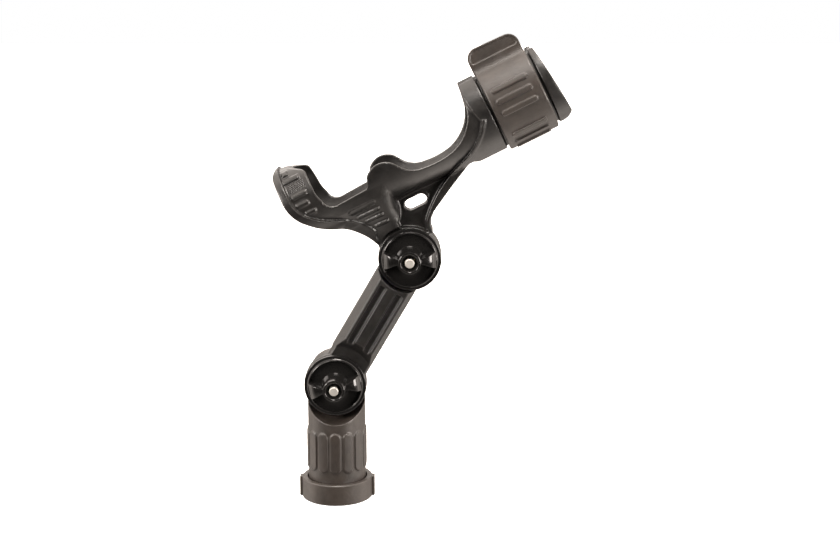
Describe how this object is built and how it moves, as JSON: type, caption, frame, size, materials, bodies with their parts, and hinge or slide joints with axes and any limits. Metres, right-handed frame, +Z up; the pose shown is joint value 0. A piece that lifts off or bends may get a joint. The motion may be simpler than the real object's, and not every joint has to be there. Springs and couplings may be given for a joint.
{
  "type": "rod holder",
  "caption": "Adjustable fishing rod holder: tube base with threaded collar, two toothed knuckles with wing knobs, open cradle and rotating lock ring.",
  "frame": {"origin": "centre of the collar's bottom face, on the base tube's axis", "axes": "+Z up along the base tube; +X towards the rod's tip; the knobs face -Y"},
  "size_m": [0.1976, 0.064, 0.3202],
  "materials": {
    "moulded_nylon": "satin",
    "knob_nylon": "gloss",
    "stainless": "satin",
    "brass_insert": "satin"
  },
  "bodies": {
    "base": {"base_tube": "moulded_nylon", "lower_bolt": "stainless"},
    "collar": {"base_collar": "moulded_nylon"},
    "arm": {"extension_arm": "moulded_nylon", "upper_bolt": "stainless"},
    "cradle": {"rod_cradle": "moulded_nylon"},
    "ring": {"lock_ring": "moulded_nylon"},
    "lower_washer_body": {"lower_washer": "stainless"},
    "lower_knob_body": {"lower_knob": "knob_nylon", "lower_knob_insert": "brass_insert"},
    "upper_washer_body": {"upper_washer": "stainless"},
    "upper_knob_body": {"upper_knob": "knob_nylon", "upper_knob_insert": "brass_insert"}
  },
  "joints": [
    {"name": "collar_turn", "type": "hinge", "parent": "base", "child": "collar", "pos_m": [0, 0, 0], "axis": [0, 0, 1], "continuous": true},
    {"name": "lower_tilt", "type": "hinge", "parent": "base", "child": "arm", "pos_m": [0, 0, 0.0829], "axis": [0, 1, 0], "range_deg": [-105, 45]},
    {"name": "upper_tilt", "type": "hinge", "parent": "arm", "child": "cradle", "pos_m": [0.05126, 0, 0.17062], "axis": [0, 1, 0], "range_deg": [-30, 120]},
    {"name": "ring_turn", "type": "hinge", "parent": "cradle", "child": "ring", "pos_m": [0.12141, 0, 0.27889], "axis": [-0.8942, 0, -0.4478], "range_deg": [0, 60]},
    {"name": "lower_knob_travel", "type": "slide", "parent": "base", "child": "lower_washer_body", "axis": [0, -1, 0], "range_m": [0, 0.00191]},
    {"name": "lower_knob_turn", "type": "hinge", "parent": "lower_washer_body", "child": "lower_knob_body", "pos_m": [0, 0, 0.0829], "axis": [0, -1, 0], "range_deg": [0, 540]},
    {"name": "upper_knob_travel", "type": "slide", "parent": "arm", "child": "upper_washer_body", "axis": [0, -1, 0], "range_m": [0, 0.00191]},
    {"name": "upper_knob_turn", "type": "hinge", "parent": "upper_washer_body", "child": "upper_knob_body", "pos_m": [0.05126, 0, 0.17062], "axis": [0, -1, 0], "range_deg": [0, 540]}
  ],
  "couplings": [
    {"joint": "lower_knob_turn", "follows": "lower_knob_travel", "rad_per_m": 4947},
    {"joint": "upper_knob_turn", "follows": "upper_knob_travel", "rad_per_m": 4947}
  ]
}
